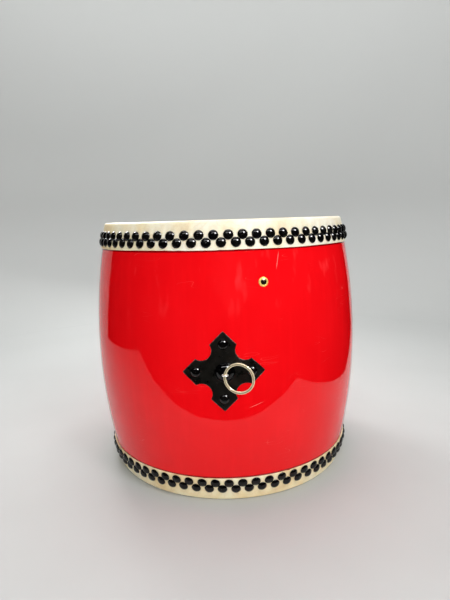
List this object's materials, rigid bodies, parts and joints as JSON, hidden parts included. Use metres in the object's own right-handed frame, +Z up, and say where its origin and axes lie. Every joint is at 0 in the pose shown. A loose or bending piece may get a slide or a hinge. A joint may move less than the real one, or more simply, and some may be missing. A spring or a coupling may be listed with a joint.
{
  "type": "barrel drum",
  "caption": "Barrel drum with nailed rawhide heads on both ends of a red lacquered wooden shell, and a swinging carrying ring on each side.",
  "frame": {"origin": "centre of the bottom head's face, on the floor", "axes": "+Z up along the drum's axis, -Y towards the front handle, +X to the right seen from the front"},
  "size_m": [0.446, 0.499, 0.408],
  "materials": {
    "shell_lacquer": "high-gloss red lacquer over solid wood",
    "rawhide": "cream rawhide, satin, slightly translucent",
    "stud_enamel": "glossy black enamel",
    "plate_enamel": "satin black enamel",
    "bright_steel": "bright nickel-plated steel",
    "ring_steel": "bright champagne-coloured plated steel",
    "zinc_steel": "zinc-plated steel",
    "brass": "polished brass"
  },
  "bodies": {
    "drum": {"shell": "shell_lacquer", "top_head": "rawhide", "bottom_head": "rawhide", "top_studs_upper": "stud_enamel", "top_studs_lower": "stud_enamel", "bottom_studs_upper": "stud_enamel", "bottom_studs_lower": "stud_enamel", "side_cup_washer": "brass", "side_screw": "brass", "front_plate": "plate_enamel", "front_plate_nails": "stud_enamel", "front_boss": "stud_enamel", "front_eye_bolt": "bright_steel", "front_inner_washer": "zinc_steel", "front_nut": "zinc_steel", "rear_plate": "plate_enamel", "rear_plate_nails": "stud_enamel", "rear_boss": "stud_enamel", "rear_eye_bolt": "bright_steel", "rear_inner_washer": "zinc_steel", "rear_nut": "zinc_steel"},
    "front_ring": {"front_ring": "ring_steel"},
    "rear_ring": {"rear_ring": "ring_steel"}
  },
  "joints": [
    {"name": "front_ring_swing", "type": "hinge", "parent": "drum", "child": "front_ring", "pos_m": [0.00182, -0.23659, 0.204], "axis": [0, 0, -1], "range_deg": [-29, 175]},
    {"name": "rear_ring_swing", "type": "hinge", "parent": "drum", "child": "rear_ring", "pos_m": [-0.00182, 0.23659, 0.204], "axis": [0, 0, -1], "range_deg": [-29, 175]}
  ]
}
